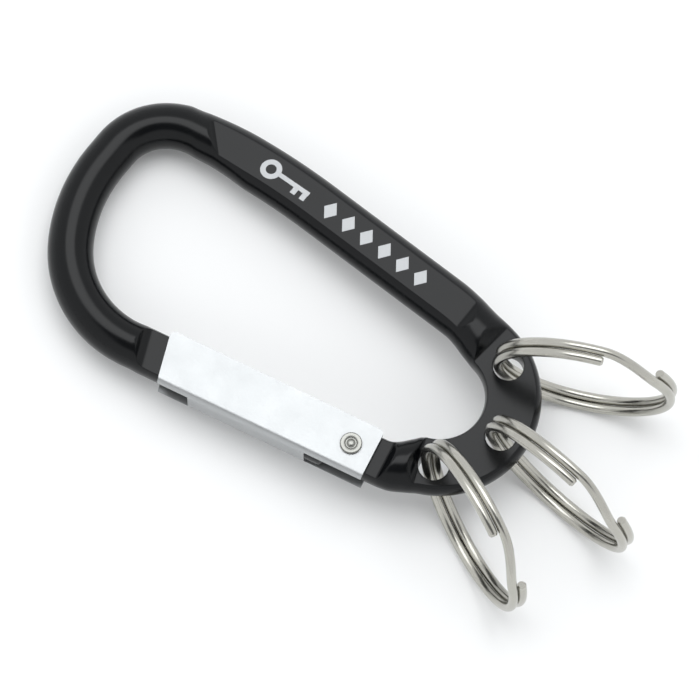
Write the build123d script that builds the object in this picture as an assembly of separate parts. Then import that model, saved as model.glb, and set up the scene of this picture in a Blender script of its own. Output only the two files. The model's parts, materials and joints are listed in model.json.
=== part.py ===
from build123d import *
import os
from math import asin, cos, degrees, radians, sin, sqrt

# Carabiner keyring: a pressed aluminium snap hook with a folded sheet gate and three split rings.
# Millimetres. The pieces are drawn flat, with the hook's middle plane at height 0, x along the
# straight back of the hook and the gate on the -y side. At the end the whole object is tipped so
# that the closed end of the hook and the rims of the three rings rest on the table.

# --- hook bar -------------------------------------------------------------------------------
BAR_D = 6.4             # round bar that the hook is bent from
BACK_Y = 11.7           # straight back, centre line
BACK_END_X = 22.5       # where the back meets the ring plate
BACK_STRAIGHT = 28.5    # straight length of the back
BACK_BOW_R = 100.0      # slight bow of the back where it runs into the hook
BACK_BOW_TURN = 11.6
CROWN_R = 8.5           # tight bend at the top of the hook
SIDE_STRAIGHT = 2.3     # short straight of the closed end
SIDE_R = 22.0           # wide bend down the closed end
SIDE_TURN = 33.0
GATE_ANGLE = 11.8       # gate line against the back

# --- pressed flats of the back ---------------------------------------------------------------
FLAT_T = 5.0            # thickness over the two flats
FLAT_W = 7.4            # the bar spreads to this width when it is pressed
FLAT_EDGE = 1.5         # rounding that is left along the sides
FLAT_X0 = -21.0         # the flats run from here
FLAT_X1 = 19.8          # to here

# --- ring plate ------------------------------------------------------------------------------
PLATE_X = 23.6          # centre of the plate's round outline
PLATE_Y = 0.6
PLATE_R = 13.8
EYE_R = 6.1             # round inner edge of the plate
PLATE_T = 3.6
PLATE_EDGE = 1.0        # rounded rim
HOLE_D = 4.2            # ring holes
HOLE_CIRCLE_R = 10.1    # circle of the holes, about the plate's centre
HOLE_MID = 2.3          # direction of the middle hole
HOLE_PITCH = 59.0       # angle from one hole to the next

# --- gate ------------------------------------------------------------------------------------
PIVOT_X = 18.7          # rivet axis
PIVOT_Y = -12.5
GATE_T = 5.0            # over the two side plates
SHEET = 0.6             # gate sheet
GATE_BEND_R = 0.9       # outer radius of the folds
GATE_IN = 3.6           # open edge of the side plates, inwards from the gate line
GATE_OUT = 3.9          # outer face of the web, outwards from the gate line
GATE_TAIL = 3.3         # side plates beyond the rivet
GATE_NOSE = 28.1        # side plates towards the nose, measured on the gate line
NOSE_SLANT = 11.8       # the nose end is cut at this angle
PLAN_CORNER = 0.7       # rounded corners of the side plates
WEB_START = 5.2         # the web runs from here
WEB_END = 22.7          # to here; it is cut away at both ends
WEB_CUT_IN = 0.3        # depth to which those cuts also clear the folds inside

# --- tabs of the bar that lie inside the gate --------------------------------------------------
TAB_T = 3.4
TAB_W = 6.4
TAB_GAP = 2.0           # bare tab between the gate and the round bar
HEEL = 5.15             # hinge tab beyond the rivet: its heel stops the web when the gate shuts
HEEL_IN_R = 3.0         # the heel's inner corner is rounded
HEEL_LONG = 2.4         # the heel fills the web's cut-out over this length
ROOT_R = 9.5            # bend of the round stub between the plate and the hinge tab
ROOT_TURN = 20.0
NOSE_TAB_END = 23.2     # the nose tab ends here, clear of the web as the gate swings past it

# --- rivet and gate spring ---------------------------------------------------------------------
RIVET_D = 2.0
RIVET_RUN = 0.05        # radial running clearance of the rivet in the tab
HEAD_D = 3.0
HEAD_H = 0.45
HEAD_EDGE = 0.15        # rounded edge of the heads
DIMPLE_D = 1.7          # groove pressed into the front head, round a small nub
DIMPLE_H = 0.2
NUB_D = 1.1
SPRING_WIRE = 0.45
SPRING_R = 1.55         # mean radius of the spring's coil
SPRING_TURNS = 3
SPRING_PITCH = 0.47
SLOT_R = 2.1            # pocket in the tab that the coil sits in
SLOT_H = 2.0
LEG_TAB = 3.4           # leg held in the tab
LEG_WEB_AT = 7.5        # the other leg bears on the web here
LEG_SLOPE = 0.25        # at this slope against the web

# --- split rings -------------------------------------------------------------------------------
RING_OD = 25.0
WIRE_D = 1.3
TURN_GAP = 0.06         # air between the two turns
JOG = 44.0              # arc over which the wire steps from one turn to the other
JOG_POINTS = 6          # points that the step is drawn through
RING_PULL = 0.42        # the rings lie this far towards the eye from mid-way in their holes
RING_HEADINGS = (25.7, -3.8, -22.8)     # each ring's direction against the back
RING_LEANS = (-1.6, -3.5, 3.5)          # each ring's lean from square to the plate
RING_TIPS = (35.0, 29.0, 20.0)          # where each ring's outer wire end lies on its circle

SETTLE_STEPS = 4                        # passes that let a ring down onto the table

TINY = 0.02             # air between pieces that only touch, and the least length that counts
TILT = 4.2              # the hook lies at this angle, held up by the rings

HALF = BAR_D / 2
GATE_DIR = 180 + GATE_ANGLE
RING_R = (RING_OD - WIRE_D) / 2
SHOULDER = GATE_NOSE + TAB_GAP      # the round bar starts here at the nose
HINGE_SHOULDER = GATE_TAIL + TAB_GAP


def turned(length, angle):
    """Point at a distance and an angle from the origin."""
    return (length * cos(radians(angle)), length * sin(radians(angle)))


def gate_point(along, outwards=0.0):
    """Plan point at a distance along the gate line from the rivet, and outwards from it."""
    x, y = turned(along, GATE_DIR)
    u, v = turned(outwards, GATE_DIR + 90)
    return (PIVOT_X + x + u, PIVOT_Y + y + v)


def in_gate_frame(shape):
    """Places a shape drawn at the rivet: +X towards the nose, +Y outwards, +Z up."""
    return Pos(PIVOT_X, PIVOT_Y, 0) * Rot(0, 0, GATE_DIR) * shape


def slab(x0, x1, y0, y1, z0, z1):
    """Box between two corners."""
    middle = Pos((x0 + x1) / 2, (y0 + y1) / 2, (z0 + z1) / 2)
    return middle * Box(x1 - x0, y1 - y0, z1 - z0)


def swept(path, profile):
    """Profile carried along a path, square to it."""
    return sweep(Plane(origin=path @ 0, x_dir=(0, 0, 1), z_dir=path % 0) * profile, path)


# --- hook ------------------------------------------------------------------------------------

def nose_radius(x, y):
    """Radius of the bend that leads from the wide bend's end onto the gate line."""
    across = Vector(*turned(1, GATE_ANGLE + 90))
    gap = Vector(x - PIVOT_X, y - PIVOT_Y).dot(across)
    return gap / (1 - Vector(*turned(1, SIDE_TURN)).dot(across))


def bar_lines():
    """Centre line of the bar, from the ring plate round the hook to the nose."""
    back = Line((BACK_END_X, BACK_Y), (BACK_END_X - BACK_STRAIGHT, BACK_Y))
    bow = JernArc(back @ 1, back % 1, BACK_BOW_R, BACK_BOW_TURN)
    crown = JernArc(bow @ 1, bow % 1, CROWN_R, 90 - BACK_BOW_TURN)
    side = Line(crown @ 1, crown @ 1 + (crown % 1) * SIDE_STRAIGHT)
    wide = JernArc(side @ 1, side % 1, SIDE_R, SIDE_TURN)
    end = wide @ 1
    bend = JernArc(end, wide % 1, nose_radius(end.X, end.Y), 90 - SIDE_TURN + GATE_ANGLE)
    nose = Line(bend @ 1, gate_point(GATE_NOSE))
    return [back, bow, crown, side, wide, bend, nose]


def round_bar():
    """Whole bar at its full section, with the nose cut at the slant of the gate's end."""
    bar = swept(Wire(bar_lines()), Circle(HALF))
    past = Pos(SHOULDER, 0, 0) * Rot(0, 0, NOSE_SLANT) * slab(-BAR_D, 0, -BAR_D, BAR_D, -HALF, HALF)
    return bar - in_gate_frame(past)


def pressed_back():
    """Stretch of the back that is pressed flat on both faces."""
    back, bow = bar_lines()[:2]
    bow_turn = degrees(asin((BACK_END_X - BACK_STRAIGHT - FLAT_X0) / BACK_BOW_R))
    straight = Line((FLAT_X1, BACK_Y), back @ 1)
    bowed = JernArc(back @ 1, back % 1, BACK_BOW_R, bow_turn)
    profile = RectangleRounded(FLAT_T, FLAT_W, FLAT_EDGE)
    return swept(Wire([straight, bowed]), profile)


def ring_plate():
    """Thin round end of the hook, open towards the back and the gate."""
    outline = Pos(PLATE_X, PLATE_Y) * (Circle(PLATE_R) - Circle(EYE_R))
    across = 2 * PLATE_R
    back_side = Pos(BACK_END_X - across / 2, PLATE_Y + across / 2) * Rectangle(across, across)
    x, y = gate_point(across / 2 - HINGE_SHOULDER, -across / 4)
    gate_side = Pos(x, y) * Rot(0, 0, GATE_ANGLE) * Rectangle(across, across)
    plate = extrude(outline - back_side - gate_side, PLATE_T / 2, both=True)
    plate = fillet(plate.edges().filter_by(GeomType.CIRCLE), PLATE_EDGE)
    return plate


def hole_places():
    """Centres of the three ring holes, from the back's end round to the gate's."""
    for step in (1, 0, -1):
        x, y = turned(HOLE_CIRCLE_R, HOLE_MID + step * HOLE_PITCH)
        yield (PLATE_X + x, PLATE_Y + y)


def hinge_root():
    """Round stub of the bar between the plate and the hinge tab."""
    start = gate_point(-HINGE_SHOULDER)
    curve = JernArc(start, turned(1, GATE_ANGLE), ROOT_R, ROOT_TURN)
    return swept(curve, Circle(HALF))


def tabs():
    """Flat tongues inside the gate: the hinge tab with its heel, and the nose tab."""
    half = TAB_W / 2
    hinge = slab(-HINGE_SHOULDER - HALF, HEEL, -half, half, -TAB_T / 2, TAB_T / 2)
    inner_edge = hinge.edges().filter_by(Axis.Z).sort_by(Axis.X)[-2:].sort_by(Axis.Y)[0]
    hinge = fillet(inner_edge, HEEL_IN_R)
    heel = slab(HEEL - HEEL_LONG, HEEL, 0, GATE_OUT, -TAB_T / 2, TAB_T / 2)
    nose = slab(NOSE_TAB_END, SHOULDER + HALF, -half, half, -TAB_T / 2, TAB_T / 2)
    return in_gate_frame(hinge + heel) + in_gate_frame(nose)


def spring_pocket():
    """Room in the hinge tab for the gate spring: its coil, and a slot for each leg."""
    level = SPRING_TURNS * SPRING_PITCH / 2
    room = SPRING_WIRE
    coil = Cylinder(SLOT_R, SLOT_H)
    held = slab(-LEG_TAB - room, 0, SPRING_R - room, SPRING_R + room, -level - room, -level + room)
    free = slab(0, HEEL + room, SPRING_R - room, GATE_OUT + room, level - room, level + room)
    return in_gate_frame(coil + held + free)


def hook():
    """The whole hook: one bar, bent, pressed and pierced."""
    above = slab(FLAT_X0, FLAT_X1, 0, BACK_Y + BAR_D, FLAT_T / 2, BAR_D)
    bar = round_bar() - above - mirror(above, Plane.XY)
    body = bar + pressed_back() + ring_plate() + hinge_root() + tabs()
    body -= Pos(PIVOT_X, PIVOT_Y, 0) * Cylinder(RIVET_D / 2 + RIVET_RUN, BAR_D)
    body -= spring_pocket()
    for x, y in hole_places():
        body -= Pos(x, y, 0) * Cylinder(HOLE_D / 2, BAR_D)
    return body


# --- gate ------------------------------------------------------------------------------------

def gate():
    """Folded sheet channel: two side plates and a web that is cut away at both ends."""
    far = GATE_NOSE + BAR_D
    outer = slab(-GATE_TAIL, far, -GATE_IN, GATE_OUT, -GATE_T / 2, GATE_T / 2)
    folds = outer.edges().filter_by(Axis.X).sort_by(Axis.Y)[-2:]
    outer = fillet(folds, GATE_BEND_R)
    inner_z = GATE_T / 2 - SHEET
    inner = slab(-BAR_D, far, -BAR_D, GATE_OUT - SHEET, -inner_z, inner_z)
    folds = inner.edges().filter_by(Axis.X).sort_by(Axis.Y)[-2:]
    channel = outer - fillet(folds, GATE_BEND_R - SHEET)
    cut = Pos(GATE_NOSE, 0, 0) * Rot(0, 0, NOSE_SLANT) * slab(0, far, -far, far, -GATE_T, GATE_T)
    channel -= cut
    channel -= slab(-far, WEB_START, GATE_OUT - SHEET - WEB_CUT_IN, far, -inner_z, inner_z)
    channel -= slab(WEB_END, far, GATE_OUT - SHEET - WEB_CUT_IN, far, -inner_z, inner_z)
    channel -= Cylinder(RIVET_D / 2, 2 * GATE_T)
    corners = channel.edges().filter_by(Axis.Z).filter_by(lambda e: abs(e.length - SHEET) < TINY)
    inner_corners = [e for e in corners if e.center().Y < 0]
    channel = fillet(inner_corners, PLAN_CORNER)
    return in_gate_frame(channel)


def hinge_rivet():
    """Flat-headed rivet: the front head has a groove pressed into it round a small nub."""
    face = GATE_T / 2
    shank = Cylinder(RIVET_D / 2, GATE_T)
    head = Cylinder(HEAD_D / 2, HEAD_H)
    head = fillet(head.edges().sort_by(Axis.Z)[-1], HEAD_EDGE)
    groove = Cylinder(DIMPLE_D / 2, DIMPLE_H) - Cylinder(NUB_D / 2, DIMPLE_H)
    front = head - Pos(0, 0, (HEAD_H - DIMPLE_H) / 2) * groove
    rivet = shank + Pos(0, 0, face + HEAD_H / 2) * front
    rivet += Pos(0, 0, -face - HEAD_H / 2) * Rot(180, 0, 0) * head
    return Pos(PIVOT_X, PIVOT_Y, 0) * rivet


def gate_spring():
    """Torsion spring coiled round the rivet: one leg held in the tab, the other on the web."""
    rise = SPRING_TURNS * SPRING_PITCH
    wire = SPRING_WIRE / 2
    helix = Pos(0, 0, -rise / 2) * Rot(0, 0, 90) * Helix(SPRING_PITCH, rise, SPRING_R, lefthand=True)
    start = helix @ 0
    end = helix @ 1
    on_web = Vector(LEG_WEB_AT, GATE_OUT - SHEET - wire - TINY, end.Z)
    held = Spline(start - Vector(LEG_TAB, 0, 0), start, tangents=[Vector(1, 0, 0), helix % 0])
    free = Spline(end, on_web, tangents=[helix % 1, Vector(1, LEG_SLOPE, 0)])
    path = Wire([held.edge(), helix.edge(), free.edge()])
    section = Plane(origin=path @ 0, z_dir=path % 0) * Circle(wire)
    return in_gate_frame(sweep(section, path))


# --- split rings -------------------------------------------------------------------------------

def split_ring():
    """Two turns of wire about +Z: the first lies below, then steps up onto the second."""
    level = (WIRE_D + TURN_GAP) / 2
    turn = 360 - JOG
    lower = Pos(0, 0, -level) * CenterArc((0, 0), RING_R, 0, -turn)
    upper = Pos(0, 0, level) * CenterArc((0, 0), RING_R, -360, -turn)
    steps = []
    for i in range(JOG_POINTS + 1):
        part = i / JOG_POINTS
        x, y = turned(RING_R, JOG * (1 - part))
        steps.append((x, y, level * (2 * part * part * (3 - 2 * part) - 1)))
    step = Spline(*steps, tangents=[lower % 1, upper % 0])
    path = Wire([lower.edge(), step.edge(), upper.edge()])
    return sweep(Plane(origin=path @ 0, z_dir=path % 0) * Circle(WIRE_D / 2), path)


def reach(height):
    """Distance from the hole's axis to the ring's centre: mid-way in the hole, less the pull."""
    faces = (height - PLATE_T / 2, height + PLATE_T / 2)
    return sum(sqrt(RING_R ** 2 - face ** 2) for face in faces) / 2 - RING_PULL


def placed_ring(hole, heading, lean, tip, table):
    """Ring threaded through a hole, square to the plate but for its lean, resting on the table."""
    outwards = turned(1, heading) + (0,)
    axis = turned(1, heading - 90) + (0,)
    through = Plane(origin=hole + (0,), x_dir=outwards, z_dir=axis).location * Rot(-lean, 0, 0)
    ring = Rot(0, 0, tip) * split_ring()
    height = 0
    for _ in range(SETTLE_STEPS):
        placed = through * Pos(reach(height), height, 0) * ring
        height -= ((TIPPED * placed).bounding_box().min.Z - table) / cos(radians(TILT))
    return through * Pos(reach(height), height, 0) * ring


# --- the object at rest ------------------------------------------------------------------------

TIPPED = Rot(0, -TILT, 0)


def main():
    """Builds every piece, stands the object on the table and writes one STEP file a piece."""
    pieces = {"frame": hook(), "gate": gate(), "hinge_rivet": hinge_rivet(), "gate_spring": gate_spring()}
    table = (TIPPED * pieces["frame"]).bounding_box().min.Z
    rings = zip(hole_places(), RING_HEADINGS, RING_LEANS, RING_TIPS)
    for number, (hole, heading, lean, tip) in enumerate(rings, 1):
        pieces[f"split_ring_{number}"] = placed_ring(hole, heading, lean, tip, table)

    box = Compound([TIPPED * piece for piece in pieces.values()]).bounding_box()
    stand = Pos(-box.center().X, -box.center().Y, -box.min.Z) * TIPPED
    os.makedirs("parts", exist_ok=True)
    for name, piece in pieces.items():
        export_step(stand * piece, f"parts/{name}.step")

    print("size", box.size)
    places = {"rivet": (PIVOT_X, PIVOT_Y, 0), "back_flat": (0, BACK_Y, FLAT_T / 2)}
    side = bar_lines()[3] @ 0.5
    places["crown"] = (side.X, side.Y, 0)
    for number, hole in enumerate(hole_places(), 1):
        places[f"hole_{number}"] = hole + (0,)
    for name, place in places.items():
        print(name, (stand * Pos(*place)).position)
    for number in (1, 2, 3):
        print(f"loop_{number}", (stand * pieces[f"split_ring_{number}"]).center())
    return stand, pieces


main()
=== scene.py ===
import json
from math import ceil, cos, pi, radians, sin, sqrt, tan

import bpy
import numpy as np
from bpy.props import FloatProperty, FloatVectorProperty, PointerProperty
from bpy.types import Operator, Panel, PropertyGroup
from mathutils import Matrix

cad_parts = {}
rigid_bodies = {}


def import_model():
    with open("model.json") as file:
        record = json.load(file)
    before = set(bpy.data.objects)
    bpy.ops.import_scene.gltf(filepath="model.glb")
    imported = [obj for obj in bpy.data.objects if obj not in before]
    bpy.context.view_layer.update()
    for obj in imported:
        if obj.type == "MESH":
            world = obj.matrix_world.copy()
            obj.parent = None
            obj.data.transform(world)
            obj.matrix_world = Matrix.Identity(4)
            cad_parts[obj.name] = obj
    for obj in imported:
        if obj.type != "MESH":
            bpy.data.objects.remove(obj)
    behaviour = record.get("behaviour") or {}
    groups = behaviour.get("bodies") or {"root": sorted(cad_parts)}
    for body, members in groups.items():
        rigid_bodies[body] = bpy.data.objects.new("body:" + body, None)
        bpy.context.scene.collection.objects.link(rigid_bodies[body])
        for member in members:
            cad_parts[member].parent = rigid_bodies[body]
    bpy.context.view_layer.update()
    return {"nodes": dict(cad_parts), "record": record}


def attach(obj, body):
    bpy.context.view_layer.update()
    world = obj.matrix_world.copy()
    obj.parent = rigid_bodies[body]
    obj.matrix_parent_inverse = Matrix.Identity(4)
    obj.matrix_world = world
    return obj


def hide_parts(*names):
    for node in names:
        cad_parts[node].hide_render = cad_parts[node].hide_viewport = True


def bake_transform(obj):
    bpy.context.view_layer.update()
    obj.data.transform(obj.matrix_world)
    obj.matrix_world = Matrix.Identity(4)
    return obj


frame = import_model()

bl_info = {
    "name": "Carabiner keyring",
    "version": (1, 0, 0),
    "blender": (4, 5, 0),
    "location": "View3D > Sidebar > Keyring",
    "description": "Snap hook with a folded gate, a pressed ring plate and three split rings",
    "category": "Add Mesh",
}

MM = 0.001


# --- sizes and colours ---------------------------------------------------------------------------

def length(name, description, millimetres):
    """Length property, in metres, with its default given in millimetres."""
    return FloatProperty(name=name, description=description, default=millimetres * MM,
                         unit="LENGTH", precision=5)


def angle(name, description, degrees):
    """Angle property with its default given in degrees."""
    return FloatProperty(name=name, description=description, default=radians(degrees),
                         unit="ROTATION")


def colour(name, description, value):
    """Linear colour property."""
    return FloatVectorProperty(name=name, description=description, default=value, subtype="COLOR",
                               size=3, min=0.0, max=1.0)


class KEYRING_PG_hook(PropertyGroup):
    """Sizes of the hook: its plan, its sections and its ring plate."""

    bar: length("Bar", "Diameter of the round bar", 6.4)
    back_y: length("Back", "Distance of the straight back from the plan's x axis", 11.7)
    back_straight: length("Straight", "Straight length of the back", 28.5)
    back_end: length("Back end", "Where the straight back ends, at the ring plate", 22.5)
    bow_radius: length("Bow radius", "Slight bow where the back runs into the crown", 100.0)
    bow_turn: angle("Bow turn", "Turn of that bow", 11.6)
    crown_radius: length("Crown radius", "Tight bend at the top of the closed end", 8.5)
    side_straight: length("Side", "Short straight of the closed end", 2.3)
    side_radius: length("Side radius", "Wide bend of the closed end", 22.0)
    side_turn: angle("Side turn", "Turn of that wide bend", 33.0)
    flat_width: length("Flat width", "Width of the back where it is pressed", 7.4)
    flat_height: length("Flat height", "Thickness of the back over its two flats", 5.0)
    flat_oval: length("Flat oval", "Height of the oval that the flats are cut from", 6.2)
    flat_start: length("Flat start", "Where the flats begin, at the crown", -22.8)
    flat_end: length("Flat end", "Where the flats end, at the ring plate", 19.8)
    plate_x: length("Plate x", "Centre of the ring plate's round outline", 23.6)
    plate_y: length("Plate y", "Centre of the ring plate's round outline", 0.6)
    plate_radius: length("Plate radius", "Outer radius of the ring plate", 13.8)
    eye_radius: length("Eye radius", "Inner radius of the ring plate", 6.1)
    plate_height: length("Plate thickness", "Thickness of the ring plate", 3.6)
    plate_rim: length("Rim", "Width of the ring plate's rounded outer rim", 1.5)
    eye_rim: length("Eye rim", "Width of the ring plate's rounded inner rim", 0.7)
    hole: length("Hole", "Diameter of the three ring holes", 4.2)
    hole_chamfer: length("Hole edge", "Rounding of the holes' edges", 0.12)
    tab_height: length("Tab thickness", "Thickness of the two tabs in the gate", 3.4)


class KEYRING_PG_gate(PropertyGroup):
    """Sizes of the gate, its rivet and its spring."""

    pivot_x: length("Rivet x", "Rivet axis in the plan", 18.7)
    pivot_y: length("Rivet y", "Rivet axis in the plan", -12.5)
    line: angle("Gate line", "Angle of the gate against the back", 11.8)
    height: length("Gate thickness", "Thickness over the two side plates", 5.0)
    sheet: length("Sheet", "Thickness of the gate's sheet", 0.6)
    edge: length("Edge", "Rounding of the sheet's edges", 0.13)
    outwards: length("Outwards", "Outer face of the web, from the gate line", 3.9)
    tail: length("Tail", "Side plates beyond the rivet", 3.3)
    nose: length("Nose", "Side plates towards the nose", 28.1)
    tab_gap: length("Bare tab", "Bare tab between the gate and the round bar", 2.0)
    heel: length("Heel", "Hinge tab beyond the rivet", 5.15)
    heel_long: length("Heel length", "How far the heel fills the web's cut-out", 2.4)
    nose_tab: length("Nose tab", "Where the nose tab ends, from the rivet", 23.2)
    rivet: length("Rivet", "Diameter of the rivet's shank", 2.0)
    head: length("Head", "Diameter of the rivet's heads", 3.0)
    head_height: length("Head height", "Height of the rivet's heads", 0.45)
    spring_wire: length("Spring wire", "Wire of the gate spring", 0.45)
    spring_radius: length("Spring radius", "Mean radius of the spring's coil", 1.55)
    spring_pitch: length("Spring pitch", "Rise of each turn of the spring", 0.47)
    held_leg: length("Held leg", "Spring leg in the tab", 3.4)
    free_leg: length("Free leg", "Reach of the spring leg on the web", 7.5)


class KEYRING_PG_rings(PropertyGroup):
    """Sizes of the split rings."""

    diameter: length("Outer diameter", "Outer diameter of each split ring", 25.0)
    wire: length("Wire", "Diameter of the ring's wire", 1.3)
    air: length("Air", "Air between the two turns", 0.06)
    step: angle("Step", "Arc over which the wire steps from one turn to the other", 44.0)
    cut: length("Cut edge", "Rounding of the wire's cut ends", 0.18)
    pull: length("Pull", "How far the rings lie towards the eye from mid-way in their holes", 0.42)


class KEYRING_PG_finish(PropertyGroup):
    """Colours of the finishes, linear."""

    black: colour("Anodising", "Black anodised bar", (0.0024, 0.0028, 0.0034))
    gate: colour("Gate", "Natural anodised sheet", (0.425, 0.435, 0.44))
    # The cut colour is painted shade: a darker grey on the gate's rounded sheet edges, for their
    # dark outline.
    cut: colour("Cut edge", "Bare edges of the gate's sheet", (0.19, 0.20, 0.205))
    nickel: colour("Nickel", "Plated ring wire", (0.45, 0.44, 0.40))
    rivet: colour("Rivet", "Plain steel rivet", (0.24, 0.24, 0.225))
    spring: colour("Spring", "Spring wire", (0.25, 0.25, 0.25))
    ink: colour("Print", "Silver-grey ink on the back", (0.42, 0.43, 0.44))
    floor: colour("Floor", "Pale floor", (0.90, 0.90, 0.90))


SETTINGS = {
    "keyring_hook": KEYRING_PG_hook,
    "keyring_gate": KEYRING_PG_gate,
    "keyring_rings": KEYRING_PG_rings,
    "keyring_finish": KEYRING_PG_finish,
}


# --- surfaces ------------------------------------------------------------------------------------

def smooth(x, start, end):
    """0 before start, 1 after end, and 3t^2 - 2t^3 between them."""
    t = np.clip((x - start) / (end - start), 0.0, 1.0)
    return t * t * (3 - 2 * t)


def softened(grid, passes, axis, closed):
    """Grid averaged with its neighbours along an axis, with weights 1, 2, 1, as often as passes.

    A grid that isn't closed keeps its first and last row.
    """
    for _ in range(passes):
        before = np.roll(grid, 1, axis)
        after = np.roll(grid, -1, axis)
        mean = (before + 2 * grid + after) / 4
        if not closed:
            mean[0] = grid[0]
            mean[-1] = grid[-1]
        grid = mean
    return grid


def grid_mesh(name, grid):
    """Mesh of a grid whose rows are closed sections, with its two ends closed by one face each.

    Faces are turned outwards by the sign of the volume, which is the sum of a . (b x c) / 6 over
    the triangles.
    """
    rows, columns = grid.shape[:2]
    index = np.arange(rows * columns).reshape(rows, columns)
    this, following = index[:-1], index[1:]
    corners = [this, np.roll(this, -1, axis=1), np.roll(following, -1, axis=1), following]
    faces = np.stack(corners, axis=-1).reshape(-1, 4)
    points = grid.reshape(-1, 3)
    a, b, c, d = (points[faces[:, i]] for i in range(4))
    volume = (np.cross(a, b) * c).sum() + (np.cross(a, c) * d).sum()
    faces = faces.tolist() + [index[0, ::-1].tolist(), index[-1].tolist()]
    if volume < 0:
        faces = [face[::-1] for face in faces]
    mesh = bpy.data.meshes.new(name)
    mesh.from_pydata(points.tolist(), [], faces)
    mesh.validate()
    return mesh


def lathed(name, radii, heights, sides):
    """Mesh turned about +Z: each row is a circle of one radius at one height, ends closed."""
    turn = np.arange(sides) * 2 * pi / sides
    circle = np.stack([np.cos(turn), np.sin(turn), 0 * turn], axis=-1)
    grid = np.asarray(radii)[:, None, None] * circle
    grid[..., 2] += np.asarray(heights)[:, None]
    return grid_mesh(name, grid)


def tube(path, across, radius, sides, cut=0.0):
    """Grid of a round wire: circles of one radius square to a path, rounded at its two cut ends.

    At a distance d from an end the radius is less by cut - sqrt(cut^2 - (cut - d)^2).
    """
    along = np.gradient(path, axis=0)
    along /= np.linalg.norm(along, axis=1)[:, None]
    across = across - (across * along).sum(1)[:, None] * along
    across /= np.linalg.norm(across, axis=1)[:, None]
    upright = np.cross(along, across)
    steps = np.linalg.norm(np.diff(path, axis=0), axis=1)
    station = np.concatenate([[0.0], np.cumsum(steps)])
    radius = np.full(len(path), radius)
    if cut:
        near = np.minimum(station, station[-1] - station)
        short = np.clip(cut - near, 0.0, cut)
        radius -= cut - np.sqrt(cut ** 2 - short ** 2)
    turn = np.arange(sides) * 2 * pi / sides
    ring = (np.cos(turn)[None, :, None] * across[:, None]
            + np.sin(turn)[None, :, None] * upright[:, None])
    return path[:, None] + radius[:, None, None] * ring


def finish_piece(mesh, body, materials, replaces=(), sharp=30.0):
    """Object of a finished mesh: smooth but for edges sharper than some degrees.

    It rides on its CAD body, unless body is None. Each face keeps the number of its material.
    """
    mesh.shade_smooth()
    mesh.set_sharp_from_angle(angle=radians(sharp))
    finish = np.zeros(len(mesh.polygons), dtype=np.int32)
    mesh.polygons.foreach_get("material_index", finish)
    mesh.materials.clear()
    for material in materials:
        mesh.materials.append(material)
    mesh.polygons.foreach_set("material_index", finish)
    piece = bpy.data.objects.new(mesh.name, mesh)
    bpy.context.scene.collection.objects.link(piece)
    if body:
        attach(piece, body)
    if replaces:
        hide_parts(*replaces)
    return piece


# --- plan and place ------------------------------------------------------------------------------

def joint(name):
    """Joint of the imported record, by its name."""
    return next(j for j in frame["record"]["behaviour"]["joints"] if j["name"] == name)


def flat_axes():
    """Rows are the plan's x, y and up directions as the hook lies on the table."""
    up = np.array(joint("ring_2_swivel")["axis"], float)
    up /= np.linalg.norm(up)
    side = np.array([0.0, 1.0, 0.0])
    return np.array([np.cross(side, up), side, up])


def pivot(gate):
    """Plan point of the rivet's axis, midway up."""
    return np.array([gate.pivot_x, gate.pivot_y, 0.0])


def lay(points, gate):
    """Plan points (x, y, height) put where the CAD rivet says, tilted as the hook lies."""
    rivet = np.array(joint("gate_hinge")["pos_m"])
    return (np.asarray(points) - pivot(gate)) @ flat_axes() + rivet


def lay_mesh(mesh, centre, gate):
    """Mesh moved from the plan's origin to a centre (x, y) and laid as the hook lies."""
    local = np.empty(len(mesh.vertices) * 3)
    mesh.vertices.foreach_get("co", local)
    moved = local.reshape(-1, 3) + np.array([centre[0], centre[1], 0.0])
    mesh.vertices.foreach_set("co", lay(moved, gate).ravel())
    return mesh


def gate_point(gate, along, outwards=0.0):
    """Plan point at a distance along the gate line from the rivet, and outwards from it."""
    turn = pi + gate.line
    return np.array([gate.pivot_x + along * cos(turn) - outwards * sin(turn),
                     gate.pivot_y + along * sin(turn) + outwards * cos(turn)])


def walk(start, heading, runs, step):
    """Points, headings and stations of a plan path made of runs, each (length, left radius or 0).

    On a run with radius r, the heading grows by distance / r, and the point is the centre plus
    r * (sin heading, -cos heading).
    """
    points, headings, stations, ends = [], [], [], [0.0]
    place = np.array(start, float)
    for run, radius in runs:
        count = max(2, ceil(run / step))
        way = np.arange(1, count + 1) * run / count
        if not points:
            way = np.concatenate([[0.0], way])
        if radius:
            centre = place + radius * np.array([-sin(heading), cos(heading)])
            turned = heading + way / radius
            new = centre + radius * np.stack([np.sin(turned), -np.cos(turned)], axis=-1)
        else:
            turned = np.full(len(way), heading)
            new = place + way[:, None] * np.array([cos(heading), sin(heading)])
        points.append(new)
        headings.append(turned)
        stations.append(ends[-1] + way)
        place, heading = new[-1], turned[-1]
        ends.append(ends[-1] + run)
    return np.concatenate(points), np.concatenate(headings), np.concatenate(stations), ends


PATH_STEP = 0.22 * MM
RUN_ENDS = 1.0              # a step longer than any run, where only a path's end is wanted


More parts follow.
